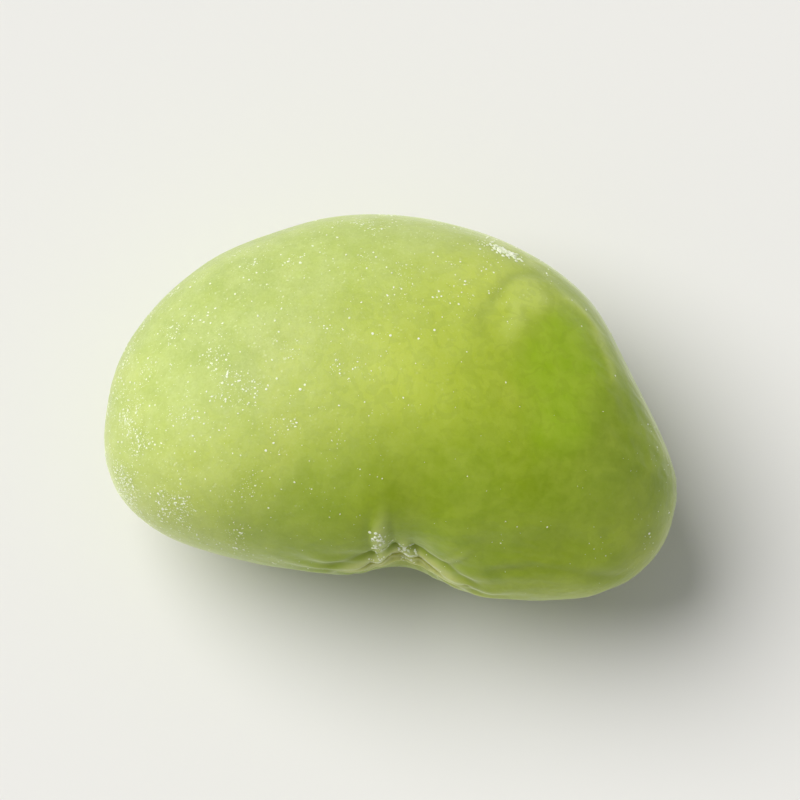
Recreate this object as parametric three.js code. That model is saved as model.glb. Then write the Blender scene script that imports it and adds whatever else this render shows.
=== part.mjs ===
// One shelled green soybean (edamame), a single solid seed, in millimetres, +Z up.
// It lies on a broad side. +X runs to the end that holds the young root, +Y to the rounded
// back, and -Y to the hilum, the scar where the seed hung in its pod. The origin is under the
// middle of the seed, on the surface that it lies on.

import * as THREE from 'three';
import { mergeVertices } from 'three/addons/utils/BufferGeometryUtils.js';

// Driving dimensions
const LENGTH = 16.0;
const WIDTH = 10.3;
const THICKNESS = 8.2;
const BLUNTNESS = 2.25; // exponent of the rounded body: 2 is an ellipsoid, more is blunter
const BEND = 1.7; // how far the two ends curve toward the hilum
const BEND_SKEW = -0.03; // share of the bend that moves from the root end to the other end
const WIDTH_TAPER = -0.045; // change of width from the middle to the root end
const THICKNESS_TAPER = 0.02; // change of thickness from the middle to the root end
const ROLL = THREE.MathUtils.degToRad(6); // turn about X that lifts the hilum side
const REST_FLAT = 0.2; // depth of the underside that is pressed flat where the seed lies
const MESH_DETAIL = 14; // splits of each icosahedron edge

// The notch in the outline, with the hilum in it
const NOTCH = { x: 0.9, depth: 0.78, alongX: 1.15, alongZ: 2.5 };
// The oval scar, a low swelling in the notch: its edge lies between the two shares of its size
const HILUM = { x: 0.8, halfLength: 1.65, halfWidth: 0.72, height: 0.14, edge: [0.55, 1.25] };
// The ridge over the young root, with a shallow furrow on each side
const ROOT = { rise: [1.7, 3.3], fade: [5.6, 7.6], height: 0.2, width: 1.15 };
const FURROW = { depth: 0.12, z: 2.0, width: 0.6 };
// The shoulder of the root end, which a neighbour in the pod pressed almost flat, and the
// shallow dent in it. The skin beyond the flat's plane keeps a share of its height.
const FACET = {
  normal: new THREE.Vector3(0.763, 0.594, 0.259),
  offset: 6.62,
  softness: 0.2,
  kept: 0.2,
};
const DENT = {
  centre: new THREE.Vector3(6.5, 2.9, 0.6),
  reach: new THREE.Vector3(1.3, 1.5, 2.6),
  depth: 0.32,
};
// The hilum side starts at this part of the half width below the long axis
const HILUM_SIDE = 0.55;

const HALF = new THREE.Vector3(LENGTH, WIDTH, THICKNESS).multiplyScalar(0.5);

const { smoothstep } = THREE.MathUtils;

// 1 in the middle of a hollow or a ridge, falling smoothly to 0 around it
function bell(t) {
  return Math.exp(-t * t);
}

// A point of the blunt ellipsoid, from a direction on the unit sphere
function bodyPoint(direction) {
  const sum = Math.abs(direction.x) ** BLUNTNESS
    + Math.abs(direction.y) ** BLUNTNESS
    + Math.abs(direction.z) ** BLUNTNESS;
  const point = direction.clone().multiply(HALF).multiplyScalar(sum ** (-1 / BLUNTNESS));
  const along = point.x / HALF.x;
  point.y *= 1 + WIDTH_TAPER * along;
  point.z *= 1 + THICKNESS_TAPER * along;
  return point;
}

// How far the skin stands out of the blunt ellipsoid at a point
function relief(point) {
  const hilumSide = smoothstep(-point.y, 0, HILUM_SIDE * HALF.y);

  const notch = NOTCH.depth * bell((point.x - NOTCH.x) / NOTCH.alongX) * bell(point.z / NOTCH.alongZ);

  const oval = Math.hypot((point.x - HILUM.x) / HILUM.halfLength, point.z / HILUM.halfWidth);
  const scar = HILUM.height * (1 - smoothstep(oval, ...HILUM.edge));

  const overRoot = smoothstep(point.x, ...ROOT.rise) * (1 - smoothstep(point.x, ...ROOT.fade));
  const ridge = ROOT.height * bell(point.z / ROOT.width);
  const furrow = FURROW.depth * bell((Math.abs(point.z) - FURROW.z) / FURROW.width);

  const fromDent = point.clone().sub(DENT.centre).divide(DENT.reach).length();
  const dent = DENT.depth * bell(fromDent);

  return hilumSide * (overRoot * (ridge - furrow) + scar - notch) - dent;
}

// Pushes a point back toward the facet's plane, with a soft edge
function pressFacet(point) {
  const over = point.dot(FACET.normal) - FACET.offset;
  const pushed = FACET.softness * Math.log1p(Math.exp(over / FACET.softness));
  point.addScaledVector(FACET.normal, (FACET.kept - 1) * pushed);
}

// A point of the finished seed before it is laid down
function seedPoint(direction) {
  const point = bodyPoint(direction);
  const outward = point.clone().divide(HALF).divide(HALF).normalize();
  const along = point.x / HALF.x;
  point.addScaledVector(outward, relief(point));
  pressFacet(point);
  point.y -= BEND * along * along * (1 - BEND_SKEW * along);
  return point;
}

// Rolls the seed, brings it to its driving dimensions and presses its underside flat
function layDown(geometry) {
  geometry.rotateX(-ROLL);
  geometry.computeBoundingBox();
  const size = geometry.boundingBox.getSize(new THREE.Vector3());
  const centre = geometry.boundingBox.getCenter(new THREE.Vector3());
  geometry.translate(-centre.x, -centre.y, -geometry.boundingBox.min.z);
  geometry.scale(LENGTH / size.x, WIDTH / size.y, (THICKNESS + REST_FLAT) / size.z);
  geometry.translate(0, 0, -REST_FLAT);
  const positions = geometry.attributes.position;
  for (let i = 0; i < positions.count; i += 1) {
    positions.setZ(i, Math.max(positions.getZ(i), 0));
  }
}

function seedGeometry() {
  let geometry = new THREE.IcosahedronGeometry(1, MESH_DETAIL);
  geometry.deleteAttribute('normal');
  geometry.deleteAttribute('uv');
  geometry = mergeVertices(geometry);
  const positions = geometry.attributes.position;
  const direction = new THREE.Vector3();
  for (let i = 0; i < positions.count; i += 1) {
    direction.fromBufferAttribute(positions, i).normalize();
    positions.setXYZ(i, ...seedPoint(direction));
  }
  layDown(geometry);
  geometry.computeVertexNormals();
  return geometry;
}

const seedSkin = new THREE.MeshStandardMaterial({ color: 0xb2c45e, roughness: 0.5, metalness: 0 });

const edamame = new THREE.Group();
const seed = new THREE.Mesh(seedGeometry(), seedSkin);
seed.name = 'edamame_bean';
edamame.add(seed);

export default edamame;
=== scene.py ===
import math

import bmesh
import bpy
import numpy as np
from mathutils import Matrix, Vector, noise


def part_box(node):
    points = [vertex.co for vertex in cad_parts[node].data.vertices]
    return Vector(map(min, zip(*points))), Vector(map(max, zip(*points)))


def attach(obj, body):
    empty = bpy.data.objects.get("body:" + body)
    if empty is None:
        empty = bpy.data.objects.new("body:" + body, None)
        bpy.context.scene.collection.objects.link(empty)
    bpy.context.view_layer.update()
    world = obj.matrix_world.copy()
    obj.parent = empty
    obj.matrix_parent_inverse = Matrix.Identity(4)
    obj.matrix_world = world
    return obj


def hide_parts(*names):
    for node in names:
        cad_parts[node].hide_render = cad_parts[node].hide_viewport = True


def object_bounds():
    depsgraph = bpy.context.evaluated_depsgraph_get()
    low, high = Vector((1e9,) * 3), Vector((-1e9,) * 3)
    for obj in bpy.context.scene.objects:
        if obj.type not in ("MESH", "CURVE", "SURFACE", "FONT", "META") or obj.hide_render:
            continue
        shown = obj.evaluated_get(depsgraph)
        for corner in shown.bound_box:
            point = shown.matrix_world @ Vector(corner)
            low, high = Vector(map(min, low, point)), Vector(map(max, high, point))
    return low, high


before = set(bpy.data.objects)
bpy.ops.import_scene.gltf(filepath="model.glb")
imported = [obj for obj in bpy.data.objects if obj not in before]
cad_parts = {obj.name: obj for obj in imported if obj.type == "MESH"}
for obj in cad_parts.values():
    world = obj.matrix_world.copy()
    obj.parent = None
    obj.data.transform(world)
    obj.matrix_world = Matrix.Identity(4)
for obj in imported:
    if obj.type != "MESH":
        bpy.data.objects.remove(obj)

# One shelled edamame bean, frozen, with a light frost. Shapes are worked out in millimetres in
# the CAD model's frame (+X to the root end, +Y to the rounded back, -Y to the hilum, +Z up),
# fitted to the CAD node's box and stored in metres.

MM = 0.001
NODE = "edamame_bean"

cad_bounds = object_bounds()
node_low, node_high = (np.array(corner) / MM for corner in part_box(NODE))
SIZE = node_high - node_low
HALF = SIZE / 2

# Words that the settings share: an "edge", "rise", "fade", "start" or "ends" is the pair of places
# between which a feature comes or goes. A ring lies "at" a place and fades out over its "width".
# Noise has features of a "size" and is shifted by "seed" times the seed step. "Gaps" break a
# feature up where their noise is low.
SEED_STEP = (17.3, 5.9, 11.1)

# The body: a blunt ellipsoid, bent toward the hilum, rolled about X and pressed flat underneath
BLUNTNESS = 2.25
BEND = 1.7
BEND_SKEW = -0.03
WIDTH_TAPER = -0.045
THICKNESS_TAPER = 0.02
ROLL = math.radians(6)
REST_FLAT = 0.2

# Its large features, with the CAD model's values. All features are placed on the ellipsoid,
# before it is bent. Those of the hilum side come in over this share of the half width.
HILUM_SIDE = 0.55
NOTCH = {"x": 0.9, "depth": 0.78, "along_x": 1.15, "along_z": 2.5}
SCAR = {"x": 0.8, "half_length": 1.65, "half_width": 0.72, "height": 0.14, "edge": (0.55, 1.25)}
ROOT = {"rise": (1.7, 3.3), "fade": (5.6, 7.6), "height": 0.2, "width": 1.15}
FURROW = {"depth": 0.12, "z": 2.0, "width": 0.6}
DENT = {"centre": (6.5, 2.9, 0.6), "reach": (1.3, 1.5, 2.6), "depth": 0.32}
FACET = {"normal": (0.763, 0.594, 0.259), "offset": 6.62, "softness": 0.2, "kept": 0.2}

# The hilum's fine features. The places of the lip, the moat and the bed are shares of the scar's
# size: 0 in its middle, 1 on its outline.
LIP = {"at": 0.82, "width": 0.22, "height": 0.045}
MOAT = {"at": 1.28, "width": 0.13, "depth": 0.035}
BED = {"edge": (0.45, 0.8), "depth": 0.035}
SLIT = {"half_length": 1.2, "ends": (0.75, 1.05), "width": 0.06, "depth": 0.07}
MICROPYLE = {"x": 2.62, "radius": 0.11, "depth": 0.07}
LENS = {"x": -1.25, "radius": 0.34, "height": 0.05}

# Pinched folds of skin that run out from the scar, the creases beside each, and the puckers
FOLDS = (
    {"x": 0.15, "z": 0.9, "slant": -0.1, "reach": 1.5, "width": 0.17, "height": 0.13},
    {"x": 0.92, "z": 0.5, "slant": -0.2, "reach": 1.0, "width": 0.16, "height": 0.11},
    {"x": 2.0, "z": 1.15, "slant": 0.6, "reach": 0.6, "width": 0.13, "height": 0.03},
    {"x": -0.1, "z": -1.3, "slant": 0.5, "reach": 0.6, "width": 0.14, "height": 0.035},
    {"x": 1.5, "z": -1.2, "slant": -0.45, "reach": 0.55, "width": 0.13, "height": 0.03},
)
FOLD_SWAY = {"height": 0.22, "size": 1.1, "seed": 3}
FOLD_CREASES = {"beside": 1.7, "width": 0.6, "share": 0.4}
PUCKER = {"rays": 13, "stretch": 1.6, "at": 1.45, "width": 0.6, "height": 0.03}
PUCKER_SWAY = {"height": 2.5, "size": 1.3, "seed": 5}

# The oval outline of the young root under the skin, beyond the scar
ROOT_OVAL = {"x": 4.4, "reach_x": 2.3, "reach_z": 1.3, "start": (2.5, 3.7), "edge": (0.55, 1.0)}
ROOT_EDGE = {"width": 0.13, "depth": 0.05}
ROOT_GAPS = {"size": 1.2, "seed": 15, "edge": (-0.7, 0.2)}

# A faint seam over the back, where the two halves of the bean meet
SEAM = {"width": 0.17, "depth": 0.03}
SEAM_SWAY = {"height": 0.22, "size": 3.4, "seed": 4}
SEAM_GAPS = {"size": 3.0, "seed": 9, "edge": (-0.35, 0.25)}

# A patch of skin near the root end that a neighbour pressed: greener and clear of frost, fading
# toward the hilum, with a low broken rim and crease on its other side. The rim's paler colour and
# extra frost are a painted highlight, and the crease's darker colour is painted shade. Places in it
# count from 0 in its middle to 1 at its edge.
PRESSED = {"centre": (4.2, 1.5, 3.3), "reach": (1.15, 1.25, 1.4), "trail": 2.2, "edge": (1.4, 0.6)}
RAGGED = (
    {"height": 0.34, "size": 1.2, "seed": 12},
    {"height": 0.1, "size": 0.5, "seed": 13},
)
# The rim's paler colour and frost are a painted highlight along its ridge
RIM = {"at": 1.4, "width": 0.24, "height": 0.022, "frost": 0.2, "start": (0.4, 2.0)}
RIM_GAPS = {"size": 0.9, "seed": 14, "edge": (-0.35, 0.3)}
# The crease's darker colour is painted shade in it
CREASE = {"at": 1.9, "width": 0.17, "depth": 0.03, "start": (4.6, 3.4)}

# The skin's unevenness: broad swells, round dents, and long wrinkles that are deepest at the two
# ends. Swells and wrinkles lose a share of their height on the scar.
SWELLS = (
    {"height": 0.085, "size": 4.6, "seed": 1},
    {"height": 0.034, "size": 2.1, "seed": 2},
    {"height": 0.011, "size": 0.9, "seed": 3},
)
DIMPLES = {"count": 26, "seed": 5, "radius": (0.5, 1.5), "share": (0.3, 1.0), "depth": 0.045}
WRINKLE = {"height": 0.03, "ends": (0.55, 0.95), "elsewhere": 0.4}
WRINKLE_NOISE = {"size": (2.2, 0.42, 0.42), "seed": 7}
WRINKLE_GAPS = {"size": 3.6, "seed": 8, "edge": (-0.15, 0.45)}
LOST_ON_SCAR = 0.8

# Frost, thickest toward the blunt end and the back, in soft patches, and in broken patches on the
# face of the root end. Its tilt is partly painted light: the blunt end and the back face the sun,
# so more film there paints them paler and leaves the far side a darker colour
FROST_AND_PAINTED_LIGHT = {"toward": (-0.85, 0.42), "edge": (-0.4, 0.6), "least": 0.03}
FROST_PATCHES = {"height": 0.1, "size": 2.3, "seed": 21}
ROOT_FROST = ({"x": 8.0, "y": 0.9, "reach_x": 1.0, "reach_y": 2.6, "share": 0.55},)
ROOT_FROST_GAPS = {"size": 1.5, "seed": 24, "edge": (-0.45, 0.35)}

# Soft oval spots: paler skin, partly painted light that brightens the middle and top of the bean;
# greener, darker painted shade beside the notch; and duller skin
PALE_AND_PAINTED_LIGHT_SPOTS = (
    {"x": -0.4, "y": -0.3, "reach_x": 2.8, "reach_y": 2.5, "share": 1.0},
    {"x": 2.0, "y": 2.8, "reach_x": 2.2, "reach_y": 1.5, "share": 0.95},
    {"x": -5.4, "y": -3.0, "reach_x": 2.6, "reach_y": 1.6, "share": 0.8},
    {"x": 7.0, "y": -1.9, "reach_x": 1.0, "reach_y": 1.3, "share": 0.4},
    {"x": 5.1, "y": -3.9, "reach_x": 1.6, "reach_y": 0.9, "share": 0.2},
)
# Painted shade: darker, greener spots beside the notch and along the lower edge left of it, where
# the bean curves under into shade
PAINTED_SHADE_SPOTS = (
    {"x": 2.5, "y": -3.1, "reach_x": 1.5, "reach_y": 1.5, "share": 0.7},
    {"x": -1.7, "y": -4.1, "reach_x": 1.2, "reach_y": 0.8, "share": 0.6},
)
BLOOMS = ({"x": 6.0, "y": -0.6, "reach_x": 1.7, "reach_y": 1.9, "share": 1.0},)

# The bean's mesh: squares along each side of the six patches that cover it, and how far they are
# drawn toward the hilum, where the squares are smallest
GRID = 127
HILUM_PULL = 0.22

# Ice crystals: clumps, each strewn along a line on the ellipsoid, and a powder of loose ones. The
# larger a loose one is, the rarer it is, and there are none near the floor. A crystal's reach and
# lift are shares of its radius, and its stretch and flatness are factors.
CRYSTAL_SEED = 11
CRYSTAL = {"reach": (0.75, 1.0), "stretch": (0.7, 1.3), "flatness": 0.4, "lift": 0.1}
CLUMPS = (
    {
        "line": ((0.0, -4.75, 1.9), (0.1, -5.0, 1.1)),
        "count": 60,
        "spread": 0.14,
        "radii": (0.015, 0.06),
    },
    {
        "line": ((0.05, -5.1, 0.6), (0.2, -5.1, 0.1)),
        "count": 26,
        "spread": 0.12,
        "radii": (0.015, 0.045),
    },
    {
        "line": ((0.75, -5.05, 0.9), (1.0, -5.05, 0.5)),
        "count": 66,
        "spread": 0.15,
        "radii": (0.015, 0.06),
    },
    {
        "line": ((1.0, -5.1, -0.1), (0.9, -5.0, -0.6)),
        "count": 18,
        "spread": 0.13,
        "radii": (0.015, 0.045),
    },
    {
        "line": ((2.0, 4.2, 2.7), (2.5, 4.1, 2.65)),
        "count": 130,
        "spread": 0.14,
        "radii": (0.02, 0.075),
    },
)
POWDER = {"count": 7500, "radii": (0.01, 0.042), "rarity": 5, "rise": (0.4, 2.0)}
POWDER_COVER = {"least": 0.012, "power": 1.5}
TUFTS = {"size": 0.8, "seed": 31, "edge": (-0.1, 0.5)}
BETWEEN_TUFTS = 0.1

# Colours are 0-255 display values, but the sheen's, the sun's and the sky's are linear. Each of
# MARKS is laid where the bean's mesh has the value of that name. Each of TINTS is laid where its
# noise is high: from "low" to "high" it grows from "least" to "most", which are 0 and 1 unless
# they are given.
FRESH_GREEN = (128, 153, 8)
PALE_SCAR = (186, 190, 98)
MARKS = {
    # Partly paler skin, partly painted light on the middle and top of the bean
    "pale_and_painted_light": {"share": 0.75, "colour": (194, 207, 56)},
    # Painted shade beside the notch
    "painted_shade": {"share": 0.7, "colour": (124, 150, 8)},
    "bloom": {"share": 0.7, "colour": (130, 152, 46)},
    "pressed": {"share": 0.7, "colour": (150, 183, 26)},
    # Painted highlight along the pressed patch's rim
    "rim": {"share": 0.4, "colour": (204, 220, 96)},
    # Painted shade in the crease beside it
    "crease": {"share": 0.5, "colour": (132, 152, 30)},
    "root": {"share": 0.3, "colour": (186, 198, 84)},
    "root_edge": {"share": 0.4, "colour": (112, 130, 20)},
    "seam": {"share": 0.3, "colour": (140, 160, 60)},
    "lip": {"share": 0.45, "colour": (212, 220, 146)},
    "slit": {"share": 0.7, "colour": (126, 124, 54)},
    "moat": {"share": 0.4, "colour": (122, 138, 26)},
    "fold": {"share": 0.6, "colour": (216, 226, 150)},
}
SCAR_SHARE = 0.8
TINTS = {
    "leaf": {
        "colour": (144, 168, 18),
        "noise": {"size": 3.2, "detail": 4.0},
        "span": {"low": 0.35, "high": 0.65},
    },
    "straw": {
        "colour": (188, 192, 58),
        "noise": {"size": 4.4, "detail": 2.0},
        "span": {"low": 0.5, "high": 0.72, "most": 0.5},
    },
    "mottle": {
        "colour": (186, 202, 76),
        "noise": {"size": 0.6, "detail": 5.0, "roughness": 0.62},
        "span": {"low": 0.3, "high": 0.7, "most": 0.26},
    },
    "veins": {
        "colour": (132, 152, 30),
        "noise": {"size": 0.42, "detail": 2.0, "roughness": 0.5, "warp": 1.2},
        "span": {"low": 0.5, "high": 0.56, "most": 0.18},
    },
    "dull_scar": {
        "colour": (160, 166, 70),
        "noise": {"size": 0.22},
        "span": {"low": 0.35, "high": 0.7},
    },
    "light_ice": {
        "colour": (248, 252, 232),
        "noise": {"size": 0.12},
        "span": {"low": 0.35, "high": 0.65},
    },
}

# The film of frost is uneven like breath on glass and grainy close up. Specks in it catch light.
GRAIN_SIZE = 0.05
FILM = {"share": 0.66, "colour": (214, 226, 158)}
FILM_CLOUD = {
    "noise": {"size": 1.1, "detail": 7.0, "roughness": 0.72},
    "span": {"low": 0.34, "high": 0.66, "least": 0.68},
}
FILM_GRAIN = {"low": 0.0, "high": 1.0, "least": 0.8}
SPECKS = {"share": 0.5, "colour": (240, 246, 214)}
SPECK_PATCHES = {
    "noise": {"size": 0.45, "detail": 4.0, "roughness": 0.6},
    "span": {"low": 0.45, "high": 0.6},
}
SPECK_GRAIN = {"low": 0.8, "high": 1.0}

# The skin's surface: moist, duller under the film, with fine pits, and lit a little from inside.
# A bump's depth is in millimetres.
SKIN_ROUGHNESS = {
    "noise": {"size": 0.3},
    "span": {"low": 0.3, "high": 0.7, "least": 0.38, "most": 0.5},
}
FILM_ROUGHNESS = 0.2
MOST_ROUGHNESS = 0.7
PITS = (
    {"noise": {"size": 0.55, "detail": 2.0, "roughness": 0.5}, "depth": 0.05, "strength": 0.55},
    {"noise": {"size": 0.16, "detail": 3.0, "roughness": 0.6}, "depth": 0.012, "strength": 0.65},
)
FILM_NOISE = {"size": 0.05, "detail": 2.0, "roughness": 0.7}
FILM_BUMP = {"depth": 0.02, "strength": 0.9}
SKIN = {
    "Subsurface Weight": 0.5,
    "Subsurface Radius": (0.9, 1.0, 0.3),
    "Subsurface Scale": 0.8 * MM,
    "IOR": 1.42,
    "Specular IOR Level": 0.35,
    "Sheen Weight": 0.6,
    "Sheen Roughness": 0.35,
    "Sheen Tint": (0.95, 1.0, 0.8, 1.0),
}

# The ice crystals' surface
ICE_SHADE = (228, 238, 196)
ICE_ROUGHNESS = {
    "noise": {"size": 0.08, "detail": 2.0},
    "span": {"low": 0.3, "high": 0.7, "least": 0.12, "most": 0.35},
}
ICE_NOISE = {"size": 0.05, "detail": 2.0, "roughness": 0.6}
ICE_BUMP = {"depth": 0.01, "strength": 0.4}
ICE_IOR = 1.31

# A round floor, in metres, a broad soft sun, and a white sky that is brighter at and below the
# horizon than above it
FLOOR = {"radius": 0.6, "vertices": 96}
FLOOR_COLOURS = ((230, 230, 228), (234, 234, 232))
FLOOR_NOISE = {"size": 60.0, "detail": 2.0}
FLOOR_SURFACE = {"Roughness": 0.7, "Specular IOR Level": 0.2}
SUN_SIDE = {"azimuth": 161, "elevation": 52}
SUN_STRENGTH = 2.95
SUN_SPREAD = math.radians(50)
SUN_COLOUR = (1.0, 0.985, 0.96)
SKY_COLOUR = (1.0, 1.0, 1.0, 1.0)
SKY_STRENGTH = {"From Min": 0.03, "From Max": 0.2, "To Min": 0.84, "To Max": 0.3}

# A long lens that looks down from the hilum side and is turned a little about its own line of
# sight. Unturned, the bean's length would fill this share of the picture's width.
FOCAL_LENGTH = 300
SENSOR_WIDTH = 36
CLIP = (0.001, 10)
CAMERA_SIDE = {"azimuth": -90, "elevation": 78}
CAMERA_TURN = math.radians(9)
FILL = 0.72


def bell(t):
    """1 in the middle of a hollow or a ridge, falling smoothly to 0 around it."""
    return np.exp(-t * t)


def ramp(low, high, t):
    """0 at low and 1 at high, smooth between them and level beyond them."""
    s = np.clip((t - low) / (high - low), 0.0, 1.0)
    return s * s * (3 - 2 * s)


def noise_field(points, size, seed):
    """Smooth noise from about -1 to 1, with features of that size in millimetres."""
    shift = Vector([seed * step for step in SEED_STEP])
    scaled = points / np.asarray(size, float)
    return np.array([noise.noise(Vector(p) + shift) for p in scaled])


def waves(points, height, size, seed):
    """Noise of that height."""
    return height * noise_field(points, size, seed)


def patches(points, size, seed, edge):
    """1 in random patches and 0 between them."""
    return ramp(*edge, noise_field(points, size, seed))


# ---------------------------------------------------------------- the bean's features


def hilum_features(points, side):
    """The notch, the scar in it, and what is in and around the scar."""
    x, _, z = points.T
    oval = np.hypot((x - SCAR["x"]) / SCAR["half_length"], z / SCAR["half_width"])
    inside_slit = 1 - ramp(*SLIT["ends"], np.abs(x - SCAR["x"]) / SLIT["half_length"])
    folds = sum(fold["height"] * fold_crest(points, fold) for fold in FOLDS)
    return {
        "oval": oval,
        "notch": bell((x - NOTCH["x"]) / NOTCH["along_x"]) * bell(z / NOTCH["along_z"]),
        "scar": (1 - ramp(*SCAR["edge"], oval)) * side,
        "lip": bell((oval - LIP["at"]) / LIP["width"]) * side,
        "moat": bell((oval - MOAT["at"]) / MOAT["width"]) * side,
        "bed": (1 - ramp(*BED["edge"], oval)) * side,
        "slit": bell(z / SLIT["width"]) * inside_slit * side,
        "micropyle": bell(np.hypot(x - MICROPYLE["x"], z) / MICROPYLE["radius"]) * side,
        "lens": bell(np.hypot(x - LENS["x"], z) / LENS["radius"]) * side,
        "folds": folds * side,
    }


def fold_crest(points, fold):
    """1 along the crest of one pinched fold of skin, and less than 0 in the creases beside it."""
    x, z = points[:, 0] - fold["x"], points[:, 2] - fold["z"]
    off = np.abs(x - fold["slant"] * z + waves(points, **FOLD_SWAY)) / fold["width"]
    creases = bell((off - FOLD_CREASES["beside"]) / FOLD_CREASES["width"])
    return (bell(off) - FOLD_CREASES["share"] * creases) * bell((z / fold["reach"]) ** 2)


def root_features(points, side):
    """Where the young root lies, and its broken outline."""
    x, _, z = points.T
    oval = np.hypot((x - ROOT_OVAL["x"]) / ROOT_OVAL["reach_x"], z / ROOT_OVAL["reach_z"])
    beyond_scar = ramp(*ROOT_OVAL["start"], x) * side
    outline = bell((oval - 1) / ROOT_EDGE["width"]) * beyond_scar
    return {
        "over_root": ramp(*ROOT["rise"], x) * (1 - ramp(*ROOT["fade"], x)),
        "root": (1 - ramp(*ROOT_OVAL["edge"], oval)) * beyond_scar,
        "root_edge": outline * patches(points, **ROOT_GAPS),
    }


def pressed_features(points):
    """The pressed skin near the root end, with its rim and crease."""
    x, y, _ = points.T
    out = place_in_pressed_skin(points)
    toward_back = ramp(*RIM["start"], y)
    rim = bell((out - RIM["at"]) / RIM["width"]) * toward_back
    crease = bell((out - CREASE["at"]) / CREASE["width"]) * toward_back
    return {
        "pressed": ramp(*PRESSED["edge"], out),
        "rim": rim * patches(points, **RIM_GAPS),
        "crease": crease * ramp(*CREASE["start"], x),
    }


def place_in_pressed_skin(points):
    """0 in the middle of the pressed skin, 1 at its ragged edge, more outside it."""
    offset = (points - PRESSED["centre"]) / PRESSED["reach"]
    offset[:, 1] /= np.where(offset[:, 1] > 0, 1.0, PRESSED["trail"])
    out = np.linalg.norm(offset, axis=1)
    for part in RAGGED:
        out += waves(points, **part)
    return out


def features(points):
    """Named masks and distances on the blunt ellipsoid, which the shape and the colours share."""
    x, y, z = points.T
    side = ramp(0.0, HILUM_SIDE * HALF[1], -y)
    off_seam = (z - waves(points, **SEAM_SWAY)) / SEAM["width"]
    return {
        "x": x,
        "y": y,
        "z": z,
        "hilum_side": side,
        **hilum_features(points, side),
        **root_features(points, side),
        **pressed_features(points),
        "dent": bell(np.linalg.norm((points - DENT["centre"]) / DENT["reach"], axis=1)),
        "seam": bell(off_seam) * (1 - side) * patches(points, **SEAM_GAPS),
    }


def frost_cover(points, f):
    """Where frost has settled, from 0 to 1, and none where the skin was pressed; its tilt toward
    the sunlit side is partly painted light. Its patches are placed on the finished points."""
    toward_x, toward_y = FROST_AND_PAINTED_LIGHT["toward"]
    # Partly painted light: more film, so paler skin, toward the sunlit blunt end and back
    lit_side_lean = ramp(*FROST_AND_PAINTED_LIGHT["edge"], toward_x * (f["x"] / HALF[0]) + toward_y * (f["y"] / HALF[1]))
    cover = FROST_AND_PAINTED_LIGHT["least"] + (1 - FROST_AND_PAINTED_LIGHT["least"]) * lit_side_lean + waves(points, **FROST_PATCHES)
    # Painted highlight: extra frost, so paler skin, along the pressed patch's rim
    cover += RIM["frost"] * f["rim"]
    cover += spot_cover(f, ROOT_FROST) * patches(points, **ROOT_FROST_GAPS)
    return np.clip(cover * (1 - f["pressed"]), 0.0, 1.0)


def spot_cover(f, spots):
    """Soft oval spots on both broad sides, from 0 to 1."""
    cover = np.zeros(len(f["x"]))
    for spot in spots:
        along = (f["x"] - spot["x"]) / spot["reach_x"]
        across = (f["y"] - spot["y"]) / spot["reach_y"]
        cover += spot["share"] * bell(np.hypot(along, across))
    return np.minimum(cover, 1.0)


# ---------------------------------------------------------------- the bean's form


def sphere_patches(n):
    """Unit directions and outward quads of a sphere made of six n x n patches."""
    steps = np.tan((2 * np.arange(n + 1) / n - 1) * math.pi / 4)
    keys = []
    for axis in range(3):
        a, b = (axis + 1) % 3, (axis + 2) % 3
        i, j = np.meshgrid(np.arange(n), np.arange(n), indexing="ij")
        for side in (0, n):
            corners = []
            for di, dj in ((0, 0), (1, 0), (1, 1), (0, 1)):
                cell = np.zeros((n, n, 3), int)
                cell[..., axis] = side
                cell[..., a] = i + di
                cell[..., b] = j + dj
                corners.append(cell)
            quad = np.stack(corners if side else corners[::-1], axis=2)
            keys.append(quad.reshape(-1, 4, 3))
    cells = np.concatenate(keys).reshape(-1, 3)
    places, index = np.unique(cells, axis=0, return_inverse=True)
    directions = steps[places]
    directions /= np.linalg.norm(directions, axis=1)[:, None]
    return directions, index.reshape(-1, 4)


def body_points(directions):
    """Points of the blunt ellipsoid."""
    total = (np.abs(directions) ** BLUNTNESS).sum(axis=1)
    points = directions * HALF * (total ** (-1 / BLUNTNESS))[:, None]
    along = points[:, 0] / HALF[0]
    points[:, 1] *= 1 + WIDTH_TAPER * along
    points[:, 2] *= 1 + THICKNESS_TAPER * along
    return points


def large_relief(f):
    """How far the skin stands out of the ellipsoid, as in the CAD model."""
    ridge = ROOT["height"] * bell(f["z"] / ROOT["width"])
    furrow = FURROW["depth"] * bell((np.abs(f["z"]) - FURROW["z"]) / FURROW["width"])
    height = f["over_root"] * (ridge - furrow) - NOTCH["depth"] * f["notch"]
    return f["hilum_side"] * height + SCAR["height"] * f["scar"] - DENT["depth"] * f["dent"]


def fine_relief(points, f):
    """The hilum's parts, the folds, the root's outline, the seam and the skin's unevenness."""
    height = LIP["height"] * f["lip"] - BED["depth"] * f["bed"] - SLIT["depth"] * f["slit"]
    height += LENS["height"] * f["lens"] - MICROPYLE["depth"] * f["micropyle"]
    height += f["folds"] - MOAT["depth"] * f["moat"] - ROOT_EDGE["depth"] * f["root_edge"]
    height += RIM["height"] * f["rim"] - CREASE["depth"] * f["crease"]
    height -= SEAM["depth"] * f["seam"] + dimple_depth(points)
    off_scar = 1 - LOST_ON_SCAR * f["scar"]
    for swell in SWELLS:
        height += waves(points, **swell) * off_scar
    height += wrinkles(points, f) * off_scar
    return height + puckers(points, f)


def wrinkles(points, f):
    """Long wrinkles along X, in patches."""
    crests = 1 - np.abs(noise_field(points, **WRINKLE_NOISE)) * 2
    ends = ramp(*WRINKLE["ends"], np.abs(f["x"]) / HALF[0])
    strength = np.maximum(WRINKLE["elsewhere"], ends) * patches(points, **WRINKLE_GAPS)
    return WRINKLE["height"] * crests * strength


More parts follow.
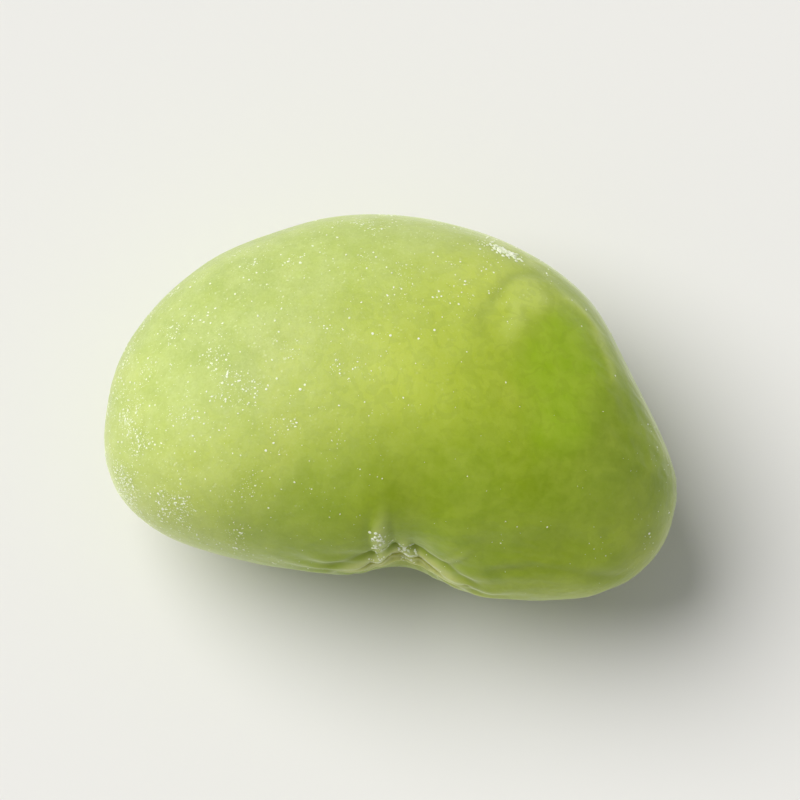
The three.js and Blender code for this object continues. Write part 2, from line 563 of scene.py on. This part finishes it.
def puckers(points, f):
    """Rays of gathered skin around the scar."""
    angle = np.arctan2(f["z"] * PUCKER["stretch"], f["x"] - SCAR["x"])
    rays = np.sin(angle * PUCKER["rays"] + waves(points, **PUCKER_SWAY))
    near = bell((f["oval"] - PUCKER["at"]) / PUCKER["width"]) * f["hilum_side"]
    return PUCKER["height"] * rays * near


def dimple_depth(points):
    """Shallow round dents scattered over the skin."""
    rng = np.random.default_rng(DIMPLES["seed"])
    depth = np.zeros(len(points))
    for _ in range(DIMPLES["count"]):
        aim = rng.normal(size=3)
        centre = body_points(aim[None] / np.linalg.norm(aim))
        away = np.linalg.norm(points - centre, axis=1) / rng.uniform(*DIMPLES["radius"])
        depth += rng.uniform(*DIMPLES["share"]) * DIMPLES["depth"] * bell(away)
    return depth


def press_facet(points):
    """Flattens the shoulder of the root end, where a neighbour in the pod pressed on it."""
    normal = np.array(FACET["normal"])
    over = (points @ normal - FACET["offset"]) / FACET["softness"]
    pushed = FACET["softness"] * np.logaddexp(0.0, over)
    return points - (1 - FACET["kept"]) * pushed[:, None] * normal


def lay_down(points):
    """Rolls the bean and fits it into the CAD node's box, with its underside pressed flat."""
    cos, sin = math.cos(ROLL), math.sin(ROLL)
    rolled = points.copy()
    rolled[:, 1] = cos * points[:, 1] + sin * points[:, 2]
    rolled[:, 2] = cos * points[:, 2] - sin * points[:, 1]
    low, high = rolled.min(axis=0), rolled.max(axis=0)
    below = np.array((0.0, 0.0, REST_FLAT))
    placed = (rolled - low) / (high - low) * (SIZE + below) + node_low - below
    placed[:, 2] = np.maximum(placed[:, 2], node_low[2])
    return placed


def bean_points(directions):
    """Finished points in millimetres, the ellipsoid's points, and the features at each."""
    body = body_points(directions)
    f = features(body)
    outward = body / HALF / HALF
    outward /= np.linalg.norm(outward, axis=1)[:, None]
    height = large_relief(f) + fine_relief(body, f)
    shaped = press_facet(body + outward * height[:, None])
    along = body[:, 0] / HALF[0]
    shaped[:, 1] -= BEND * along ** 2 * (1 - BEND_SKEW * along)
    return lay_down(shaped), body, f


def skin_values(f, frost):
    """The values from 0 to 1 that the skin's material reads at each point."""
    plain = ("scar", "lip", "moat", "root", "root_edge", "seam", "pressed", "rim", "crease")
    return {
        **{name: f[name] for name in plain},
        "slit": np.maximum(f["slit"], f["micropyle"]),
        "fold": np.clip(f["folds"] / FOLDS[0]["height"], 0.0, 1.0),
        "frost": frost,
        # Partly paler skin, partly painted light on the middle and top of the bean
        "pale_and_painted_light": spot_cover(f, PALE_AND_PAINTED_LIGHT_SPOTS),
        # Painted shade beside the notch
        "painted_shade": spot_cover(f, PAINTED_SHADE_SPOTS),
        "bloom": spot_cover(f, BLOOMS),
    }


def make_mesh(name, points, faces, smooth=True):
    """A mesh in metres, from points in millimetres."""
    mesh = bpy.data.meshes.new(name)
    mesh.from_pydata((points * MM).tolist(), [], faces.tolist())
    if smooth:
        mesh.shade_smooth()
    mesh.update()
    obj = bpy.data.objects.new(name, mesh)
    bpy.context.scene.collection.objects.link(obj)
    return obj


def make_bean():
    """The bean, and the points, normals, ellipsoid points and frost at the corners of its quads."""
    directions, quads = sphere_patches(GRID)
    directions[:, 1] -= HILUM_PULL
    directions /= np.linalg.norm(directions, axis=1)[:, None]
    points, body, f = bean_points(directions)
    frost = frost_cover(points, f)

    bean = make_mesh("bean", points, quads)
    for name, values in skin_values(f, frost).items():
        attribute = bean.data.attributes.new(name, "FLOAT", "POINT")
        attribute.data.foreach_set("value", np.asarray(values, np.float32))
    normals = np.empty(points.size)
    bean.data.vertices.foreach_get("normal", normals)
    skin = {"points": points, "normals": normals.reshape(-1, 3), "body": body, "frost": frost}
    return bean, {name: values[quads] for name, values in skin.items()}


# ---------------------------------------------------------------- materials


def srgb(r, g, b):
    """A linear colour from 0-255 display values."""
    def linear(c):
        c /= 255
        return c / 12.92 if c <= 0.04045 else ((c + 0.055) / 1.055) ** 2.4

    return (linear(r), linear(g), linear(b), 1.0)


class Nodes:
    """Short calls for building one material's node tree."""

    def __init__(self, name):
        self.material = bpy.data.materials.new(name)
        self.material.use_nodes = True
        self.tree = self.material.node_tree
        self.shader = self.tree.nodes["Principled BSDF"]
        place = self.tree.nodes.new("ShaderNodeTexCoord").outputs["Object"]
        scale = self.tree.nodes.new("ShaderNodeVectorMath")
        scale.operation = "SCALE"
        scale.inputs["Scale"].default_value = 1 / MM
        self.link(place, scale.inputs[0])
        self.place = scale.outputs[0]

    def link(self, source, target):
        self.tree.links.new(source, target)

    def put(self, value, socket):
        """Links an output, or sets a constant."""
        if isinstance(value, bpy.types.NodeSocket):
            self.link(value, socket)
        else:
            socket.default_value = value

    def surface(self, settings):
        """The material, with the shader's inputs set or linked by their names."""
        for name, value in settings.items():
            self.put(value, self.shader.inputs[name])
        return self.material

    def value(self, name):
        """One of the values that the mesh holds at each point."""
        node = self.tree.nodes.new("ShaderNodeAttribute")
        node.attribute_name = name
        return node.outputs["Fac"]

    def noise(self, size, detail=3.0, roughness=0.55, warp=0.0):
        """Noise about 0.5, with features of that size in millimetres."""
        node = self.tree.nodes.new("ShaderNodeTexNoise")
        node.inputs["Scale"].default_value = 1 / size
        node.inputs["Detail"].default_value = detail
        node.inputs["Roughness"].default_value = roughness
        node.inputs["Distortion"].default_value = warp
        self.link(self.place, node.inputs["Vector"])
        return node.outputs["Fac"]

    def grains(self, size):
        """A random value for each cell of a mosaic, with cells of that size in millimetres."""
        node = self.tree.nodes.new("ShaderNodeTexVoronoi")
        node.inputs["Scale"].default_value = 1 / size
        self.link(self.place, node.inputs["Vector"])
        return node.outputs["Color"]

    def math(self, operation, a, b):
        """The operation's result on two values, each an output or a constant."""
        node = self.tree.nodes.new("ShaderNodeMath")
        node.operation = operation
        self.put(a, node.inputs[0])
        self.put(b, node.inputs[1])
        return node.outputs[0]

    def times(self, a, b):
        return self.math("MULTIPLY", a, b)

    def span(self, value, low, high, least=0.0, most=1.0):
        """Maps low..high to least..most, smoothly and within them."""
        node = self.tree.nodes.new("ShaderNodeMapRange")
        node.interpolation_type = "SMOOTHSTEP"
        self.put(value, node.inputs["Value"])
        node.inputs["From Min"].default_value = low
        node.inputs["From Max"].default_value = high
        node.inputs["To Min"].default_value = least
        node.inputs["To Max"].default_value = most
        return node.outputs["Result"]

    def pattern(self, noise, span):
        """Noise and its mapping, from their settings."""
        return self.span(self.noise(**noise), **span)

    def mix(self, share, a, b):
        """Colour a with a share of colour b over it. Inputs 6 and 7 and output 2 are colours."""
        node = self.tree.nodes.new("ShaderNodeMix")
        node.data_type = "RGBA"
        self.put(share, node.inputs["Factor"])
        self.put(a, node.inputs[6])
        self.put(b, node.inputs[7])
        return node.outputs[2]

    def marked(self, colour, *names):
        """The colour with some of MARKS laid over it."""
        for name in names:
            share = self.times(self.value(name), MARKS[name]["share"])
            colour = self.mix(share, colour, srgb(*MARKS[name]["colour"]))
        return colour

    def tinted(self, colour, *names):
        """The colour with some of TINTS laid over it."""
        for name in names:
            share = self.pattern(TINTS[name]["noise"], TINTS[name]["span"])
            colour = self.mix(share, colour, srgb(*TINTS[name]["colour"]))
        return colour

    def bump(self, height, depth, strength, normal=None):
        """A normal tilted by a height, of which 1 is that depth in millimetres."""
        node = self.tree.nodes.new("ShaderNodeBump")
        node.inputs["Strength"].default_value = strength
        node.inputs["Distance"].default_value = depth * MM
        self.link(height, node.inputs["Height"])
        if normal is not None:
            self.link(normal, node.inputs["Normal"])
        return node.outputs["Normal"]


def bare_skin(n):
    """The skin's colour without frost."""
    colour = n.tinted(srgb(*FRESH_GREEN), "leaf", "straw")
    # Painted light among these marks: the pale spots in part, the darker spots beside the notch,
    # the pale rim and the dark crease
    colour = n.marked(colour, "pale_and_painted_light", "painted_shade", "bloom", "pressed", "rim", "crease")
    colour = n.marked(colour, "root", "root_edge")
    colour = n.tinted(colour, "mottle", "veins")
    colour = n.marked(colour, "seam")
    scar = n.tinted(srgb(*PALE_SCAR), "dull_scar")
    colour = n.mix(n.times(n.value("scar"), SCAR_SHARE), colour, scar)
    return n.marked(colour, "lip", "slit", "moat", "fold")


def frosted(n, colour):
    """The colour under frost, and how thick the film of frost is."""
    frost = n.value("frost")
    grain = n.grains(GRAIN_SIZE)
    veil = n.times(n.pattern(**FILM_CLOUD), n.span(grain, **FILM_GRAIN))
    film = n.times(n.times(frost, veil), FILM["share"])
    colour = n.mix(film, colour, srgb(*FILM["colour"]))
    specks = n.times(n.span(grain, **SPECK_GRAIN), n.pattern(**SPECK_PATCHES))
    specks = n.times(n.times(specks, frost), SPECKS["share"])
    return n.mix(specks, colour, srgb(*SPECKS["colour"])), film


def skin_normal(n, film):
    """Fine pits all over, and a powdery grain where the film of frost is."""
    normal = None
    for pits in PITS:
        normal = n.bump(n.noise(**pits["noise"]), pits["depth"], pits["strength"], normal)
    return n.bump(n.times(n.noise(**FILM_NOISE), film), **FILM_BUMP, normal=normal)


def skin_material():
    n = Nodes("bean_skin")
    n.shader.subsurface_method = "RANDOM_WALK"
    colour, film = frosted(n, bare_skin(n))
    rough = n.math("ADD", n.pattern(**SKIN_ROUGHNESS), n.times(film, FILM_ROUGHNESS))
    rough = n.math("MINIMUM", rough, MOST_ROUGHNESS)
    normal = skin_normal(n, film)
    return n.surface({**SKIN, "Base Color": colour, "Roughness": rough, "Normal": normal})


def ice_material():
    n = Nodes("ice")
    colour = n.tinted(srgb(*ICE_SHADE), "light_ice")
    rough = n.pattern(**ICE_ROUGHNESS)
    normal = n.bump(n.noise(**ICE_NOISE), **ICE_BUMP)
    return n.surface({"IOR": ICE_IOR, "Base Color": colour, "Roughness": rough, "Normal": normal})


def floor_material():
    n = Nodes("pale_floor")
    dark, light = (srgb(*colour) for colour in FLOOR_COLOURS)
    return n.surface({**FLOOR_SURFACE, "Base Color": n.mix(n.noise(**FLOOR_NOISE), dark, light)})


# ---------------------------------------------------------------- ice crystals


def icosahedron():
    """Corners and outward faces."""
    blob = bmesh.new()
    bmesh.ops.create_icosphere(blob, subdivisions=1, radius=1.0)
    points = np.array([v.co for v in blob.verts])
    faces = np.array([[v.index for v in face.verts] for face in blob.faces])
    blob.free()
    return points, faces


def crystal_points(rng, corners, radius):
    """Corners of one small angular crystal about the origin, in millimetres."""
    reach = rng.uniform(*CRYSTAL["reach"], len(corners))
    stretch = rng.uniform(*CRYSTAL["stretch"], 3) * (1.0, 1.0, CRYSTAL["flatness"])
    return corners * reach[:, None] * stretch * radius


def clump_quads(rng, middles, clump):
    """Quads under the crystals of one clump, which is strewn along its line on the ellipsoid."""
    start, end = np.array(clump["line"])
    share = rng.uniform(size=(clump["count"], 1))
    aims = start + (end - start) * share + rng.normal(size=(clump["count"], 3)) * clump["spread"]
    return [int(np.linalg.norm(middles - aim, axis=1).argmin()) for aim in aims]


def powder_quads(rng, skin):
    """Quads under the loose crystals, which gather in tufts where the frost is thick."""
    places = skin["points"].mean(axis=1)
    cover = POWDER_COVER["least"] + skin["frost"].mean(axis=1) ** POWDER_COVER["power"]
    tufts = BETWEEN_TUFTS + patches(places, **TUFTS) ** 2
    weight = cover * tufts * ramp(*POWDER["rise"], places[:, 2])
    return rng.choice(len(places), POWDER["count"], p=weight / weight.sum())


def choose_crystals(rng, skin):
    """The quad under each crystal and its radius: first the clumps, then the loose ones."""
    middles = skin["body"].mean(axis=1)
    chosen, radii = [], []
    for clump in CLUMPS:
        chosen.append(clump_quads(rng, middles, clump))
        radii.append(rng.uniform(*clump["radii"], clump["count"]))
    chosen.append(powder_quads(rng, skin))
    least, most = POWDER["radii"]
    radii.append(least + (most - least) * rng.uniform(size=POWDER["count"]) ** POWDER["rarity"])
    return np.concatenate(chosen), np.concatenate(radii)


def scatter(rng, skin, chosen):
    """A random point on each chosen quad, and the outward direction there."""
    u, v = rng.uniform(size=(2, len(chosen), 1))
    a, b, c, d = skin["points"][chosen].transpose(1, 0, 2)
    places = (a * (1 - u) + b * u) * (1 - v) + (d * (1 - u) + c * u) * v
    outward = skin["normals"][chosen].sum(axis=1)
    return places, outward / np.linalg.norm(outward, axis=1)[:, None]


def make_grains(skin):
    """All the ice crystals as one piece, each lying flat on the skin with a random spin."""
    rng = np.random.default_rng(CRYSTAL_SEED)
    chosen, radii = choose_crystals(rng, skin)
    places, outward = scatter(rng, skin, chosen)
    corners, sides = icosahedron()
    points, faces = [], []
    for number, (place, normal, radius) in enumerate(zip(places, outward, radii)):
        turn = Vector(normal).to_track_quat("Z", "Y").to_matrix()
        spin = Matrix.Rotation(rng.uniform(0, 2 * math.pi), 3, "Z")
        shape = crystal_points(rng, corners, radius) @ np.array(turn @ spin).T
        points.append(shape + place + normal * radius * CRYSTAL["lift"])
        faces.append(sides + number * len(corners))
    return make_mesh("ice_grains", np.concatenate(points), np.concatenate(faces), smooth=False)


# ---------------------------------------------------------------- stage, light and camera


def make_floor():
    height = cad_bounds[0][2]
    bpy.ops.mesh.primitive_circle_add(**FLOOR, fill_type="NGON", location=(0, 0, height))
    floor = bpy.context.object
    floor.name = "floor"
    floor.data.materials.append(floor_material())


def toward(azimuth, elevation):
    """A unit vector from the object, with azimuth counted from +X toward +Y, in degrees."""
    a, e = math.radians(azimuth), math.radians(elevation)
    return Vector((math.cos(e) * math.cos(a), math.cos(e) * math.sin(a), math.sin(e)))


def make_sun():
    lamp = bpy.data.lights.new("key", "SUN")
    lamp.energy = SUN_STRENGTH
    lamp.angle = SUN_SPREAD
    lamp.color = SUN_COLOUR
    key = bpy.data.objects.new("key", lamp)
    key.rotation_euler = toward(**SUN_SIDE).to_track_quat("Z", "Y").to_euler()
    bpy.context.scene.collection.objects.link(key)


def make_sky():
    world = bpy.data.worlds.new("studio")
    bpy.context.scene.world = world
    world.use_nodes = True
    tree = world.node_tree
    place = tree.nodes.new("ShaderNodeTexCoord")
    split = tree.nodes.new("ShaderNodeSeparateXYZ")
    shade = tree.nodes.new("ShaderNodeMapRange")
    for name, value in SKY_STRENGTH.items():
        shade.inputs[name].default_value = value
    background = tree.nodes["Background"]
    background.inputs["Color"].default_value = SKY_COLOUR
    tree.links.new(place.outputs["Generated"], split.inputs[0])
    tree.links.new(split.outputs["Z"], shade.inputs["Value"])
    tree.links.new(shade.outputs["Result"], background.inputs["Strength"])


def make_camera():
    data = bpy.data.cameras.new("camera")
    data.lens = FOCAL_LENGTH
    data.sensor_width = SENSOR_WIDTH
    data.clip_start, data.clip_end = CLIP
    camera = bpy.data.objects.new("camera", data)
    bpy.context.scene.collection.objects.link(camera)
    low, high = (Vector(corner) for corner in cad_bounds)
    middle = (low + high) / 2
    width_seen = (high - low).x / FILL
    distance = width_seen / 2 / math.tan(data.angle / 2)
    aim = toward(**CAMERA_SIDE)
    look = aim.to_track_quat("Z", "Y").to_matrix().to_4x4()
    turn = Matrix.Rotation(CAMERA_TURN, 4, "Z")
    camera.matrix_world = Matrix.Translation(middle + aim * distance) @ look @ turn
    bpy.context.scene.camera = camera


bean, skin = make_bean()
bean.data.materials.append(skin_material())
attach(bean, "root")
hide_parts(NODE)

grains = make_grains(skin)
grains.data.materials.append(ice_material())
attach(grains, "root")

make_floor()
make_sun()
make_sky()
make_camera()
bpy.context.scene.view_settings.view_transform = "Standard"
